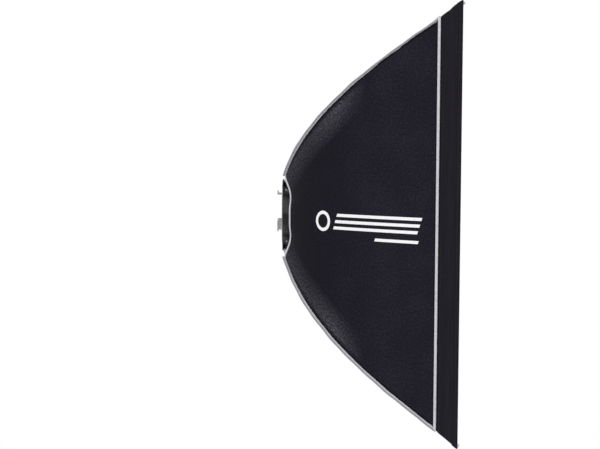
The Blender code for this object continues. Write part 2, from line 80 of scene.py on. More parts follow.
# cloth
SEAM_MAP = "Seams"           # second UV layer: distances from the rib seam and from the front seam
CLOTH_THICK = 0.0012
LIP_THICK = 0.0022
LIP_SLANT = 1.35             # length along the lip for each metre of x
ACROSS = 46
ALONG = 96
HEM_PROFILE = (              # x across a lip and the height of its hem there
    (DIFFUSER_LINE + 0.0002, -0.0012), (0.3615, 0.0002), (0.3640, 0.0006), (0.3700, 0.0003), (0.3760, 0.0),
    (0.3820, 0.0), (0.3880, -0.0001), (0.3905, -0.0003), (0.3918, 0.0009), (0.3935, 0.0012), (0.3965, 0.0012),
    (0.3995, 0.0011), (0.4023, 0.0006), (LIP_END, -0.0004))

# white print on the left and right panels: x on the box, heights across the flat cloth
RING_X = 0.0990
RING_V = 0.0020
RING_OUTER = 0.0250
RING_INNER = 0.0170
BARS_X = (0.1280, 0.3190)
BAR_TOP = -0.0175
BAR_STEP = 0.0155
BAR_HEIGHT = 0.0072
BAR_SLANT = -0.35

# pocket round each rod end: length along the rod, width and depth against the radius
POCKET_RADIUS = 0.0070
POCKET_BORE = 0.0058
POCKET_STATIONS = (
    (0.6725, 1.12, 1.0), (0.6732, 1.20, 1.0), (0.6748, 1.20, 1.0), (0.6762, 1.08, 1.0), (0.6790, 1.0, 1.0),
    (0.6850, 1.0, 1.0), (0.6920, 1.0, 1.0), (0.6970, 1.02, 0.94), (0.7010, 1.05, 0.75), (0.7045, 1.06, 0.45),
    (0.7060, 1.02, 0.22))

# camera and floor
CAMERA_PLACE = (0.0281, -3.0, 0.1765)
CAMERA_YAW, CAMERA_PITCH, CAMERA_ROLL = -0.387, 86.086, 0.211
CAMERA_LENS = 67.3
SENSOR_WIDTH = 36.0
FLOOR_RADIUS = 3.3
FLOOR_LEVEL = -1.62
FLOOR_X = 0.2


def rod_slope(s):
    """Angle between rod and X axis at length s from the hinge."""
    free = np.clip((s - ARM_LENGTH) / (ROD_SPAN - ARM_LENGTH), 0.0, 1.0)
    return ROD_ANGLE - ROD_BEND * (2 * free - free * free)


LENGTHS = np.linspace(0.0, ROD_SPAN, 1500)
_STEP = LENGTHS[1]
_MIDDLE = rod_slope(LENGTHS[:-1] + _STEP / 2)
ROD_X = HINGE_X + np.concatenate([[0], np.cumsum(np.cos(_MIDDLE) * _STEP)])
ROD_R = HINGE_R + np.concatenate([[0], np.cumsum(np.sin(_MIDDLE) * _STEP)])


def rod_at(s):
    """(x, r, slope) of the rod's centre line."""
    return np.interp(s, LENGTHS, ROD_X), np.interp(s, LENGTHS, ROD_R), rod_slope(s)


def seam_at(s, lift=0.0):
    """(x, r) of the corner seam outside the rod."""
    x, r, slope = rod_at(s)
    share = (s - SEAM_START) / (ROD_SPAN - SEAM_START)
    offset = SEAM_OFFSET_REAR + (SEAM_OFFSET_FRONT - SEAM_OFFSET_REAR) * share + lift
    return x - np.sin(slope) * offset, r + np.cos(slope) * offset


SEAM_S = np.linspace(SEAM_START, ROD_SPAN, 700)
SEAM_X, SEAM_R = seam_at(SEAM_S)


def half_side(x):
    """Half the side of the cloth square at x."""
    return np.interp(x, SEAM_X, SEAM_R) / math.sqrt(2)


_SIDE_RUN = np.concatenate([[0], np.cumsum(np.hypot(np.diff(SEAM_X), np.diff(SEAM_R) / math.sqrt(2)))])


def run_at(x):
    """Length along the middle of a panel from its rear to x."""
    return np.interp(x, SEAM_X, _SIDE_RUN)


def ease(value):
    """Smooth step from 0 to 1."""
    value = np.clip(value, 0.0, 1.0)
    return value * value * (3 - 2 * value)


def turn_x(points, angle):
    """Turn an array of points about the X axis."""
    c, s = math.cos(angle), math.sin(angle)
    y = points[..., 1] * c - points[..., 2] * s
    z = points[..., 1] * s + points[..., 2] * c
    return np.stack([points[..., 0], y, z], axis=-1)


def corner_angle(corner):
    """Angle about X that takes +Z to that corner."""
    return math.radians(90 * corner - 135)


def halves():
    """Half sides: side, its name, sign of the half's edge as the top side sees it, half name and arm."""
    for side, name in enumerate(SIDES):
        yield side, name, 1, "a", side + 1
        yield side, name, -1, "b", (side + 1) % 4 + 1


def on_side(points, side):
    """Turn points of the top side on to another side."""
    return turn_x(points, math.radians(90 * side))


# ---------------------------------------------------------------- materials

class Shader:
    """Small builder for node materials."""

    def __init__(self, name):
        self.mat = bpy.data.materials.new(name)
        self.mat.use_nodes = True
        self.tree = self.mat.node_tree
        self.main = self.tree.nodes["Principled BSDF"]

    def node(self, kind, **settings):
        made = self.tree.nodes.new(kind)
        for key, value in settings.items():
            setattr(made, key, value)
        return made

    def link(self, source, target):
        self.tree.links.new(source, target)

    def put(self, **values):
        for key, value in values.items():
            self.main.inputs[key.replace("_", " ")].default_value = value

    def coords(self, source="UV", scale=(1, 1, 1), turn=0.0):
        """Texture coordinates with a scale."""
        place = self.node("ShaderNodeTexCoord")
        mapping = self.node("ShaderNodeMapping")
        mapping.inputs["Scale"].default_value = scale
        mapping.inputs["Rotation"].default_value = (0, 0, turn)
        self.link(place.outputs[source], mapping.inputs["Vector"])
        return mapping.outputs["Vector"]

    def seam_distances(self):
        """Distances in metres from the rib seam and from the front seam."""
        layer = self.node("ShaderNodeUVMap", uv_map=SEAM_MAP)
        parts = self.node("ShaderNodeSeparateXYZ")
        self.link(layer.outputs[0], parts.inputs[0])
        return parts.outputs[0], parts.outputs[1]

    def noise(self, vector, scale, detail=3.0, rough=0.55):
        made = self.node("ShaderNodeTexNoise")
        made.inputs["Scale"].default_value = scale
        made.inputs["Detail"].default_value = detail
        made.inputs["Roughness"].default_value = rough
        self.link(vector, made.inputs["Vector"])
        return made.outputs["Fac"]

    def wave(self, vector, scale, direction, distort=0.0):
        made = self.node("ShaderNodeTexWave", bands_direction=direction, wave_profile="SIN")
        made.inputs["Scale"].default_value = scale
        made.inputs["Distortion"].default_value = distort
        self.link(vector, made.inputs["Vector"])
        return made.outputs["Fac"]

    def math(self, operation, first, second=0.0, third=0.0):
        made = self.node("ShaderNodeMath", operation=operation)
        for socket, value in zip(made.inputs, (first, second, third)):
            if isinstance(value, (int, float)):
                socket.default_value = value
            else:
                self.link(value, socket)
        return made.outputs[0]

    def ramp(self, factor, stops):
        """Colour ramp; stops are (position, grey or colour)."""
        made = self.node("ShaderNodeValToRGB")
        elements = made.color_ramp.elements
        while len(elements) < len(stops):
            elements.new(0.5)
        for element, (position, colour) in zip(elements, stops):
            element.position = position
            if isinstance(colour, (int, float)):
                colour = (colour, colour, colour)
            element.color = (*colour, 1.0)
        self.link(factor, made.inputs["Fac"])
        return made.outputs["Color"]

    def mix(self, factor, first, second):
        made = self.node("ShaderNodeMix", data_type="RGBA")
        self.link(factor, made.inputs["Factor"])
        for socket, value in ((made.inputs[6], first), (made.inputs[7], second)):
            if isinstance(value, tuple):
                socket.default_value = (*value, 1.0)
            else:
                self.link(value, socket)
        return made.outputs[2]

    def bump(self, height, distance, strength=1.0, after=None):
        made = self.node("ShaderNodeBump")
        made.inputs["Strength"].default_value = strength
        made.inputs["Distance"].default_value = distance
        self.link(height, made.inputs["Height"])
        if after is not None:
            self.link(after, made.inputs["Normal"])
        return made.outputs["Normal"]


def weave(shader, vector, pitch):
    """Plain weave height from two crossed thread waves."""
    scale = math.pi / pitch / 10
    across = shader.wave(vector, scale, "X", 0.4)
    along = shader.wave(vector, scale, "Y", 0.4)
    return shader.math("MULTIPLY", across, along)


def stitches(shader, distance, run, at, pitch=0.0050):
    """Mask of a row of stitches at one distance from a seam."""
    row = shader.math("COMPARE", distance, at, 0.00045)
    phase = shader.math("FRACT", shader.math("MULTIPLY", run, 1.0 / pitch))
    return shader.math("MULTIPLY", row, shader.math("LESS_THAN", phase, 0.72))


def box_mask(shader, u, v, low, high, slant=0.0):
    """1 inside a rectangle whose ends lean by slant."""
    lean = shader.math("MULTIPLY_ADD", v, -slant, u)
    inside_u = shader.math("MULTIPLY", shader.math("GREATER_THAN", lean, low[0]),
                           shader.math("LESS_THAN", lean, high[0]))
    inside_v = shader.math("MULTIPLY", shader.math("GREATER_THAN", v, low[1]),
                           shader.math("LESS_THAN", v, high[1]))
    return shader.math("MULTIPLY", inside_u, inside_v)


def ring_mask(shader, u, v, centre, outer, inner):
    """1 inside a flat ring."""
    du = shader.math("SUBTRACT", u, centre[0])
    dv = shader.math("SUBTRACT", v, centre[1])
    square = shader.math("ADD", shader.math("MULTIPLY", du, du), shader.math("MULTIPLY", dv, dv))
    return shader.math("MULTIPLY", shader.math("LESS_THAN", square, outer * outer),
                       shader.math("GREATER_THAN", square, inner * inner))


def cloth_material(name, printed):
    """Blue-black woven nylon. The printed one carries a plain ring and bars in white ink."""
    s = Shader(name)
    flat = s.coords()
    fine = weave(s, flat, 0.0011)
    blotch = s.noise(flat, 190.0, 4.0, 0.7)
    broad = s.noise(flat, 9.0, 3.0)
    tone = s.math("ADD", s.math("MULTIPLY", blotch, 0.75), s.math("MULTIPLY", broad, 0.25))
    colour = s.ramp(tone, [(0.36, (0.0072, 0.0063, 0.0112)), (0.50, (0.0112, 0.0100, 0.0172)),
                           (0.62, (0.0196, 0.0178, 0.0282))])
    from_rib, from_front = s.seam_distances()
    # Painted sheen: the cloth is made lighter near each rib seam toward the rear, broken up by the blotch
    # noise.
    sheen_band = s.math("MULTIPLY", s.ramp(from_rib, [(0.012, 0.0), (0.024, 1.0), (0.090, 0.0)]),
                  s.ramp(from_front, [(0.22, 0.0), (0.32, 1.0), (0.42, 0.6)]))
    painted_sheen = s.math("MULTIPLY", sheen_band, s.ramp(blotch, [(0.40, 0.15), (0.62, 1.0)]))
    # Painted shade: the cloth colour darkens toward the panel's rear edge.
    rear = s.ramp(from_front, [(0.16, 0.0), (0.42, 0.60)])
    colour = s.mix(rear, colour, (0.0010, 0.0009, 0.0022))
    colour = s.mix(painted_sheen, colour, (0.088, 0.084, 0.102))
    shade = s.math("MULTIPLY", s.ramp(from_rib, [(0.0055, 0.0), (0.0110, 1.0)]),
                   s.ramp(from_front, [(0.0045, 0.0), (0.0090, 1.0)]))
    colour = s.mix(shade, (0.0004, 0.0004, 0.0008), colour)
    where = s.node("ShaderNodeSeparateXYZ")
    s.link(flat, where.inputs[0])
    sewn = s.math("MAXIMUM", stitches(s, from_rib, where.outputs[0], 0.0120),
                  stitches(s, from_front, where.outputs[1], 0.0100))
    colour = s.mix(sewn, colour, (0.020, 0.020, 0.024))
    rough = s.ramp(broad, [(0.3, 0.62), (0.7, 0.74)])
    if printed:
        u, v = where.outputs[0], where.outputs[1]
        start, end = (float(run_at(x)) for x in BARS_X)
        ink = ring_mask(s, u, v, (float(run_at(RING_X)), RING_V), RING_OUTER, RING_INNER)
        tops = [BAR_TOP + row * BAR_STEP for row in range(3)]
        boxes = [((start, top), (end, top + BAR_HEIGHT)) for top in tops]
        boxes.append(((end - 0.110, 0.0360), (end + 0.010, 0.0430)))
        for low, high in boxes:
            ink = s.math("MAXIMUM", ink, box_mask(s, u, v, low, high, BAR_SLANT))
        worn = s.math("MULTIPLY", ink, s.ramp(blotch, [(0.25, 0.82), (0.5, 1.0)]))
        colour = s.mix(worn, colour, (0.86, 0.86, 0.87))
    s.link(colour, s.main.inputs["Base Color"])
    s.link(rough, s.main.inputs["Roughness"])
    s.put(Specular_IOR_Level=0.05, Sheen_Weight=0.015, Sheen_Roughness=0.4)
    s.main.inputs["Sheen Tint"].default_value = (0.72, 0.72, 1.0, 1.0)
    first = s.bump(fine, 0.00020, 0.8)
    second = s.bump(blotch, 0.0009, 0.55, first)
    s.link(s.bump(sewn, 0.0004, 0.8, second), s.main.inputs["Normal"])
    return s.mat


def webbing_material(name, low, high, pitch=0.0016, hemmed=False):
    """Matt black tape or lip cloth with a coarser rib."""
    s = Shader(name)
    flat = s.coords()
    rib = weave(s, flat, pitch)
    blotch = s.noise(flat, 150.0, 4.0, 0.7)
    long_marks = s.noise(s.coords(scale=(40, 3, 1)), 4.0, 3.0)
    tone = s.math("ADD", s.math("MULTIPLY", blotch, 0.5), s.math("MULTIPLY", long_marks, 0.5))
    colour = s.ramp(tone, [(0.36, low), (0.64, high)])
    sewn = None
    if hemmed:
        from_edge, from_seam = s.seam_distances()
        across = s.node("ShaderNodeSeparateXYZ")
        s.link(flat, across.inputs[0])
        # Painted shade: darker bands at the lip's front edge and in the fold of its turned hem, and beside
        # the front seam.
        hem_and_seam_shade = s.ramp(from_edge, [(0.0, 0.35), (0.0030, 0.8), (0.0100, 1.0), (0.0122, 0.25),
                                   (0.0150, 0.75), (0.0280, 1.0), (0.0400, 0.8)])
        hem_and_seam_shade = s.math("MULTIPLY", hem_and_seam_shade, s.ramp(from_seam, [(0.0045, 0.15), (0.0085, 1.0)]))
        colour = s.mix(hem_and_seam_shade, (0.0010, 0.0009, 0.0013), colour)
        sewn = s.math("MAXIMUM", stitches(s, from_edge, across.outputs[1], 0.0095),
                      stitches(s, from_seam, across.outputs[1], 0.0100))
        colour = s.mix(sewn, colour, (0.022, 0.022, 0.024))
    s.link(colour, s.main.inputs["Base Color"])
    s.link(s.ramp(blotch, [(0.3, 0.74), (0.7, 0.9)]), s.main.inputs["Roughness"])
    s.put(Specular_IOR_Level=0.12, Sheen_Weight=0.03, Sheen_Roughness=0.5)
    height = s.bump(blotch, 0.0006, 0.4, s.bump(rib, 0.00030, 0.8))
    if hemmed:
        height = s.bump(sewn, 0.0004, 0.8, height)
    s.link(height, s.main.inputs["Normal"])
    return s.mat


def piping_material():
    """Pale grey binding tape with a fine twill."""
    s = Shader("grey_binding")
    flat = s.coords(turn=0.6)
    twill = s.wave(flat, math.pi / 0.0012 / 10, "X", 0.6)
    blotch = s.noise(s.coords(), 130.0, 4.0)
    height, _ = s.seam_distances()
    colour = s.ramp(blotch, [(0.3, (0.46, 0.455, 0.50)), (0.7, (0.58, 0.575, 0.62))])
    # Painted shade: a dark line in the notch between the cord and its flange; the cord beyond it is darkened
    # to a mid grey.
    groove_shade = s.ramp(height, [(0.0040, 0.0), (0.0046, 1.0), (0.0056, 1.0), (0.0062, 0.62)])
    s.link(s.mix(groove_shade, colour, (0.08, 0.08, 0.095)), s.main.inputs["Base Color"])
    s.link(s.ramp(blotch, [(0.3, 0.55), (0.7, 0.72)]), s.main.inputs["Roughness"])
    s.put(Specular_IOR_Level=0.3, Sheen_Weight=0.15)
    s.link(s.bump(twill, 0.00018, 0.8), s.main.inputs["Normal"])
    return s.mat


def silver_material():
    """Silver-coated lining with a small embossed diamond pattern."""
    s = Shader("silver_lining")
    flat = s.coords(turn=math.radians(45))
    diamonds = weave(s, flat, 0.0034)
    crinkle = s.noise(s.coords(), 60.0, 5.0, 0.6)
    s.link(s.ramp(crinkle, [(0.3, 0.60), (0.7, 0.76)]), s.main.inputs["Base Color"])
    s.link(s.ramp(crinkle, [(0.3, 0.26), (0.7, 0.42)]), s.main.inputs["Roughness"])
    s.put(Metallic=0.92, Specular_IOR_Level=0.5)
    first = s.bump(diamonds, 0.00028, 0.6)
    s.link(s.bump(crinkle, 0.0008, 0.5, first), s.main.inputs["Normal"])
    return s.mat


def diffusion_material(name, low, high):
    """Translucent white ripstop: fine weave under a square grid of thicker threads."""
    s = Shader(name)
    flat = s.coords()
    fine = weave(s, flat, 0.0012)
    grid = math.pi / 0.006 / 10
    lines = s.math("MAXIMUM", s.wave(flat, grid, "X"), s.wave(flat, grid, "Y"))
    ripstop = s.ramp(lines, [(0.90, 0.0), (1.0, 1.0)])
    soft = s.noise(flat, 7.0, 4.0)
    s.link(s.ramp(soft, [(0.3, low), (0.7, high)]), s.main.inputs["Base Color"])
    s.link(s.ramp(soft, [(0.3, 0.62), (0.7, 0.75)]), s.main.inputs["Roughness"])
    s.put(Specular_IOR_Level=0.3, Sheen_Weight=0.1, Subsurface_Weight=0.5, Subsurface_Scale=0.006)
    s.main.inputs["Subsurface Radius"].default_value = (1, 1, 1)
    first = s.bump(fine, 0.00012, 0.6)
    s.link(s.bump(ripstop, 0.00016, 0.7, first), s.main.inputs["Normal"])
    return s.mat


def fuzzy_material():
    """Loop side of hook-and-loop tape."""
    s = Shader("loop_tape")
    flat = s.coords()
    fuzz = s.noise(flat, 900.0, 6.0, 0.8)
    s.link(s.ramp(fuzz, [(0.35, 0.004), (0.7, 0.018)]), s.main.inputs["Base Color"])
    s.put(Roughness=0.95, Specular_IOR_Level=0.1, Sheen_Weight=0.2, Sheen_Roughness=0.6)
    s.link(s.bump(fuzz, 0.0010, 0.9), s.main.inputs["Normal"])
    return s.mat


def coated_metal():
    """Black powder coat over cast metal, rubbed paler on its edges."""
    s = Shader("black_coat")
    where = s.coords("Object")
    grain = s.noise(where, 1400.0, 3.0, 0.6)
    patch = s.noise(where, 30.0, 4.0)
    edge = s.node("ShaderNodeNewGeometry").outputs["Pointiness"]
    rub = s.ramp(edge, [(0.52, 0.0), (0.60, 1.0)])
    rubbed = s.math("MULTIPLY", rub, s.ramp(patch, [(0.40, 0.0), (0.62, 0.55)]))
    base = s.ramp(patch, [(0.3, (0.006, 0.006, 0.0065)), (0.7, (0.012, 0.012, 0.013))])
    s.link(s.mix(rubbed, base, (0.16, 0.16, 0.17)), s.main.inputs["Base Color"])
    s.link(s.ramp(patch, [(0.3, 0.46), (0.7, 0.60)]), s.main.inputs["Roughness"])
    s.put(Specular_IOR_Level=0.25)
    s.link(s.bump(grain, 0.00016, 0.7), s.main.inputs["Normal"])
    return s.mat


def bare_metal(name, low, high, rough, turned):
    """Turned or drawn metal with fine tool lines; a turned one has rings about the X axis."""
    s = Shader(name)
    if turned:
        radial = s.node("ShaderNodeVectorMath", operation="LENGTH")
        s.link(s.coords("Object", (0, 1, 1)), radial.inputs[0])
        place = s.node("ShaderNodeSeparateXYZ")
        s.link(s.coords("Object"), place.inputs[0])
        both = s.node("ShaderNodeCombineXYZ")
        s.link(radial.outputs["Value"], both.inputs[0])
        s.link(place.outputs[0], both.inputs[1])
        lines = s.noise(both.outputs[0], 1900.0, 2.0)
    else:
        lines = s.noise(s.coords("Object", (60, 60, 60)), 1.0, 3.0)
    patch = s.noise(s.coords("Object"), 40.0, 4.0)
    s.link(s.ramp(patch, [(0.3, low), (0.7, high)]), s.main.inputs["Base Color"])
    s.link(s.ramp(lines, [(0.3, rough - 0.06), (0.7, rough + 0.08)]), s.main.inputs["Roughness"])
    s.put(Metallic=1.0)
    s.link(s.bump(lines, 0.00008, 0.7), s.main.inputs["Normal"])
    return s.mat


def moulded(name, low, high, rough):
    """Moulded plastic with a spark-eroded grain."""
    s = Shader(name)
    grain = s.noise(s.coords("Object"), 1800.0, 3.0, 0.7)
    patch = s.noise(s.coords("Object"), 25.0, 3.0)
    s.link(s.ramp(patch, [(0.3, low), (0.7, high)]), s.main.inputs["Base Color"])
    s.link(s.ramp(patch, [(0.3, rough), (0.7, rough + 0.12)]), s.main.inputs["Roughness"])
    s.put(Specular_IOR_Level=0.45)
    s.link(s.bump(grain, 0.00012, 0.6), s.main.inputs["Normal"])
    return s.mat


CLOTH = cloth_material("black_cloth", False)
CLOTH_PRINTED = cloth_material("black_cloth_printed", True)
LIP_CLOTH = webbing_material("lip_cloth", (0.0068, 0.0057, 0.0096), (0.0130, 0.0112, 0.0178),
                             hemmed=True)
WEBBING = webbing_material("black_tape", (0.0060, 0.0060, 0.0066), (0.0125, 0.0125, 0.0135), 0.0024)
BINDING = piping_material()
SILVER = silver_material()
FRONT_WHITE = diffusion_material("front_white", (0.80, 0.80, 0.80), (0.87, 0.87, 0.865))
INNER_WHITE = diffusion_material("inner_white", (0.76, 0.76, 0.76), (0.83, 0.83, 0.825))
LOOP_TAPE = fuzzy_material()
COAT = coated_metal()
ALUMINIUM = bare_metal("turned_aluminium", (0.33, 0.33, 0.345), (0.42, 0.42, 0.43), 0.34, True)
STEEL = bare_metal("zinc_steel", (0.48, 0.49, 0.50), (0.60, 0.61, 0.62), 0.26, False)
ROD_STEEL = bare_metal("rod_steel", (0.40, 0.41, 0.42), (0.52, 0.53, 0.54), 0.22, False)
NYLON = moulded("nylon", (0.70, 0.69, 0.64), (0.78, 0.77, 0.72), 0.42)
PLASTIC = moulded("black_plastic", (0.010, 0.010, 0.011), (0.018, 0.018, 0.019), 0.36)


# ---------------------------------------------------------------- mesh helpers

def new_object(name, points, faces, indices, materials, uvs, sharp, seams=None):
    """Mesh object from arrays. sharp are vertex pairs with a hard edge; uvs and seams are one per vertex."""
    mesh = bpy.data.meshes.new(name)
    mesh.from_pydata(np.asarray(points).tolist(), [], faces)
    for mat in materials:
        mesh.materials.append(mat)
    mesh.polygons.foreach_set("material_index", indices)
    mesh.polygons.foreach_set("use_smooth", [True] * len(faces))
    layer = mesh.uv_layers.new(name="UVMap")
    corner = np.empty(len(mesh.loops), int)
    mesh.loops.foreach_get("vertex_index", corner)
    layer.data.foreach_set("uv", np.asarray(uvs, float)[corner].ravel())
    if seams is not None:
        second = mesh.uv_layers.new(name=SEAM_MAP)
        second.data.foreach_set("uv", np.asarray(seams, float)[corner].ravel())
    if sharp:
        wanted = {tuple(sorted(pair)) for pair in sharp}
        for edge in mesh.edges:
            if tuple(sorted(edge.vertices)) in wanted:
                edge.use_edge_sharp = True
    mesh.update()
    made = bpy.data.objects.new(name, mesh)
    bpy.context.scene.collection.objects.link(made)
    return made


def hang(piece):
    """Bake a cloth piece's transform into its mesh."""
    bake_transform(piece)


def grid_normals(points, outward):
    """Unit normals of a grid of points, turned to the outward side."""
    du = np.gradient(points, axis=0)
    dv = np.gradient(points, axis=1)
    normal = np.cross(du, dv)
    normal /= np.maximum(np.linalg.norm(normal, axis=-1, keepdims=True), 1e-12)
    flip = np.sign((normal * outward).sum(axis=-1).mean())
    return normal * flip, flip


def sheet_solid(name, points, outward, thick, uv, materials, kinds=None, seams=None):
    """Closed thin sheet from a grid. materials are outer, inner and rim; kinds gives an index per cell."""
    rows, columns = points.shape[:2]
    normal, flip = grid_normals(points, outward)
    inner = points - normal * thick
    every = np.concatenate([points.reshape(-1, 3), inner.reshape(-1, 3)])
    count = rows * columns
    number = np.arange(count).reshape(rows, columns)
    faces, indices = [], []
    for i in range(rows - 1):
        for j in range(columns - 1):
            quad = [number[i, j], number[i + 1, j], number[i + 1, j + 1], number[i, j + 1]]
            if flip < 0:
                quad.reverse()
            faces.append([int(v) for v in quad])
            indices.append(0 if kinds is None else int(kinds[i, j]))
            faces.append([int(v) + count for v in reversed(quad)])
            indices.append(1 if kinds is None else (1 if kinds[i, j] == 0 else int(kinds[i, j])))
    loop = list(number[:, 0]) + list(number[-1, 1:]) + list(number[-2::-1, -1]) + list(number[0, -2:0:-1])
    sharp = []
    for first, second in zip(loop, loop[1:] + loop[:1]):
        quad = [int(first), int(second), int(second) + count, int(first) + count]
        if flip > 0:
            quad.reverse()
        faces.append(quad)
        indices.append(2)
        sharp += [(quad[0], quad[1]), (quad[2], quad[3])]
    uvs = np.concatenate([uv.reshape(-1, 2), uv.reshape(-1, 2)])
    if seams is not None:
        seams = np.concatenate([seams.reshape(-1, 2), seams.reshape(-1, 2)])
    return new_object(name, every, faces, indices, materials, uvs, sharp, seams)


def tube(name, centre, out, side, profile, materials, heights=None):
    """Loft a closed cross-section (side, out) along a centre line."""
    ring = np.asarray(profile)
    count = len(ring)
    stations = len(centre)
    points = centre[:, None, :] + side[:, None, :] * ring[None, :, :1] + out[:, None, :] * ring[None, :, 1:]
    run = np.concatenate([[0], np.cumsum(np.linalg.norm(np.diff(centre, axis=0), axis=1))])
    around = np.concatenate([[0], np.cumsum(np.linalg.norm(np.diff(ring, axis=0), axis=1))])
    uv = np.stack(np.broadcast_arrays(run[:, None], around[None, :]), axis=-1)
    ahead = centre[1] - centre[0]
    area = np.cross(ring, np.roll(ring, -1, axis=0)).sum()
    flip = np.dot(np.cross(side[0], out[0]), ahead) * area > 0
    faces = []
    for i in range(stations - 1):
        for j in range(count):
            k = (j + 1) % count
            quad = [i * count + j, i * count + k, (i + 1) * count + k, (i + 1) * count + j]
            faces.append(quad if flip else quad[::-1])
    first = list(range(count))
    last = [(stations - 1) * count + j for j in range(count)]
    faces.append(first[::-1] if flip else first)
    faces.append(last if flip else last[::-1])
    level = np.zeros(count) if heights is None else heights
    seams = np.stack(np.broadcast_arrays(level[None, :], run[:, None]), axis=-1).reshape(-1, 2)
    return new_object(name, points.reshape(-1, 3), faces, [0] * len(faces), materials, uv.reshape(-1, 2),
                      [], seams)


def oval(width, height, flat=0.0, count=12):
    """Cross-section of a cord: flat cuts off its underside."""
    angles = np.arange(count) * math.tau / count
    ring = np.stack([np.cos(angles) * width / 2, np.sin(angles) * height / 2], axis=1)
    ring[:, 1] = np.maximum(ring[:, 1], -height / 2 * (1 - flat))
    return ring


# ---------------------------------------------------------------- side panels

def rear_edge(t):
    """x of the rear opening at t across a panel: an even arc from seam to seam."""
    return SEAM_X[0] + REAR_ARC * (1 - t * t)


def panel_base(u, t):
    """Taut panel on the +Z side: u from rear edge to front seam, t from 0 at the middle to 1 at the seam."""
    start = rear_edge(t)
    s_start = np.interp(start, SEAM_X, SEAM_S)
    s_end = np.interp(DIFFUSER_LINE, SEAM_X, SEAM_S)
    s = s_start + (s_end - s_start) * u
    x = np.interp(s, SEAM_S, SEAM_X)
    half = half_side(x)
    return np.stack([x, t * half, half], axis=-1), s


def ripple(x, y, seed):
    """Smooth pseudo-random value from -1 to 1, the same on each run."""
    random = np.random.default_rng(seed)
    total = np.zeros_like(x)
    for _ in range(7):
        angle = random.uniform(0, math.tau)
        scale = random.uniform(9, 26)
        phase = random.uniform(0, math.tau)
        total += np.sin((x * math.cos(angle) + y * math.sin(angle)) * scale + phase)
    return total / 3.2


def panel_relief(points, s, u, t, seed):
    """Height of the cloth above the taut surface: sag, seam fold, rod ridge and puckers."""
    half = points[..., 2]
    from_seam = (1 - t) * half
    from_front = np.maximum(DIFFUSER_LINE - points[..., 0], 0) / 0.72
    from_rear = u * 0.55
    middle = ease(t / 0.10)
    sag = -0.0055 * np.sin(math.pi * np.clip(u, 0, 1)) * (1 - t * t)
    calm = middle * ease(from_seam / 0.06) * ease(from_front / 0.05)
    broad = 0.0016 * ripple(s, t * half, seed) * calm
    fold = -0.0030 * np.exp(-from_seam / 0.0045) - 0.0016 * np.exp(-from_front / 0.0035)
    ridge = 0.0016 * np.exp(-((from_seam - 0.017) / 0.009) ** 2) * ease(u / 0.08)
    jitter = ripple(s * 3, t * 2, seed + 5)
    pucker = 0.00055 * np.sin(s * math.tau / 0.021 + 2.2 * jitter) * np.exp(-from_seam / 0.016)
    front = 0.00055 * np.sin(t * half * math.tau / 0.024 + 2.0 * jitter) * middle
    front *= np.exp(-from_front / 0.014)
    rear = 0.0009 * np.sin(t * 9.0 + 1.5) * np.exp(-from_rear / 0.03) * middle
    pull = 0.0022 * np.sin(8 * (1 - t) + 5 * u) * np.exp(-from_rear / 0.10)
    pull *= ease(t / 0.3) * ease((1 - t) / 0.15)
    return sag + broad + fold + ridge + pucker + front + rear + pull


def spread(count, ends):
    """0 to 1 with closer steps at both ends when ends is near 1."""
    even = np.linspace(0, 1, count + 1)
    return even * (1 - ends) + (0.5 - 0.5 * np.cos(np.pi * even)) * ends


def panel_points(side, sign, u, t):
    """Finished outer surface of a half panel in place, its flat coordinates and its taut surface."""
    base, s = panel_base(u, t)
    base[..., 1] *= sign
    normal, _ = grid_normals(base, Z_AXIS)
    height = panel_relief(base * np.array([1, sign, 1]), s, u, t, 11 + side)
    points = base + normal * height[..., None]
    flat = np.stack([run_at(base[..., 0]), base[..., 1]], axis=-1)
    return on_side(points, side), flat, base


def front_run(base):
    """Distance along the cloth to the front seam."""
    steps = np.linalg.norm(np.diff(base, axis=0), axis=-1)
    run = np.concatenate([np.zeros((1, base.shape[1])), np.cumsum(steps, axis=0)])
    return run[-1] - run


def make_panels():
    """Eight half panels, two on each side."""
    u, t = np.meshgrid(spread(ALONG, 0.5), 1 - (1 - spread(ACROSS, 0.55)) ** 1.15, indexing="ij")
    for side, name, sign, half_name, arm in halves():
        points, flat, base = panel_points(side, sign, u, t)
        if name == "left":
            flat = flat * np.array([1.0, -1.0])
        outer = CLOTH_PRINTED if name in ("left", "right") else CLOTH
        seams = np.stack([(1 - t) * base[..., 2], front_run(base)], axis=-1)
        piece = sheet_solid(f"panel_{name}_{half_name}", points, on_side(Z_AXIS, side), CLOTH_THICK, flat,
                            [outer, SILVER, outer], seams=seams)
        hang(piece)
        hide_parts(f"side_panel_{name}")


# ---------------------------------------------------------------- lip, piping and tapes

def lip_grid(t, x):
    """Points on the flared lip on the +Z side, opened a little at its front edge."""
    half = half_side(x) + LIP_FLARE * np.clip((x - DIFFUSER_LINE) / (LIP_END - DIFFUSER_LINE), 0, 1)
    return np.stack([x + 0 * t, t * half, half + 0 * t], axis=-1)


def make_lips():
    """Half lips with a turned hem along the front edge, and loop tape on the inside."""
    hem, rise = np.array(HEM_PROFILE).T
    x, t = np.meshgrid(hem, spread(90, 0.2), indexing="ij")
    for side, name, sign, half_name, arm in halves():
        base = lip_grid(t, x)
        base[..., 1] *= sign
        normal, _ = grid_normals(base, Z_AXIS)
        wave = 0.0010 * ripple(base[..., 1] * 1.3, base[..., 0] * 2, 31 + side)
        wave *= ease(t / 0.12) * ease((1 - t) / 0.05) * ease((x - 0.37) / 0.03)
        points = on_side(base + normal * (rise[:, None] + wave)[..., None], side)
        flat = base[..., :2]
        seams = np.stack([(LIP_END - x) * LIP_SLANT, (x - DIFFUSER_LINE) * LIP_SLANT], axis=-1)
        piece = sheet_solid(f"lip_{name}_{half_name}", points, on_side(Z_AXIS, side), LIP_THICK, flat,
                            [LIP_CLOTH] * 3, seams=seams)
        hang(piece)
        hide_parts(f"lip_panel_{name}")
        make_loop_tape(side, name, sign, half_name)


